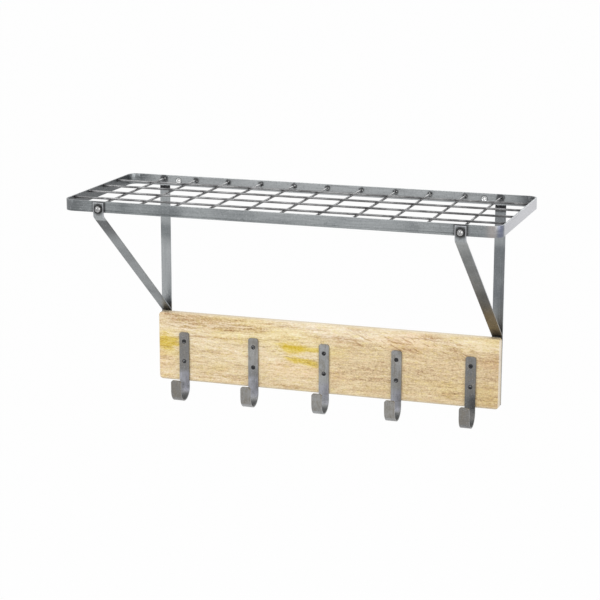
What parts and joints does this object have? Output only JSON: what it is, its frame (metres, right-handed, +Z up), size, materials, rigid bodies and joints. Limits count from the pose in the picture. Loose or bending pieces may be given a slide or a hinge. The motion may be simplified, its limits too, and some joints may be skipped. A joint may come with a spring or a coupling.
{
  "type": "wall shelf with hooks",
  "caption": "Wall shelf of flat steel bar with a wire grid top, diagonal side braces and a wooden board below that carries flat bar J-hooks.",
  "frame": {"origin": "middle of the line between the two wall holes, on the rear face of the band's rear run", "axes": "+X along the shelf to the right seen from the room, +Y into the wall, +Z up"},
  "size_m": [0.8, 0.3182, 0.4355],
  "materials": {
    "steel": "brushed bare steel under clear lacquer",
    "hook_steel": "brushed bare steel with faint heat tints",
    "wire": "drawn wire",
    "zinc": "bright zinc",
    "black": "black oxide",
    "wood": "pale open-grained wood, clear matt finish"
  },
  "bodies": {
    "root": {"shelf_band": "steel", "long_wire_1": "wire", "long_wire_2": "wire", "long_wire_3": "wire", "long_wire_4": "wire", "cross_wire_01": "wire", "cross_wire_02": "wire", "cross_wire_03": "wire", "cross_wire_04": "wire", "cross_wire_05": "wire", "cross_wire_06": "wire", "cross_wire_07": "wire", "cross_wire_08": "wire", "cross_wire_09": "wire", "cross_wire_10": "wire", "cross_wire_11": "wire", "upright_left": "steel", "upright_right": "steel", "brace_left": "steel", "brace_right": "steel", "brace_bolts": "zinc", "brace_washers": "black", "brace_nuts": "zinc", "board": "wood", "hook_1": "hook_steel", "hook_2": "hook_steel", "hook_3": "hook_steel", "hook_4": "hook_steel", "hook_5": "hook_steel", "hook_screws": "black", "board_screws": "zinc"}
  },
  "joints": []
}
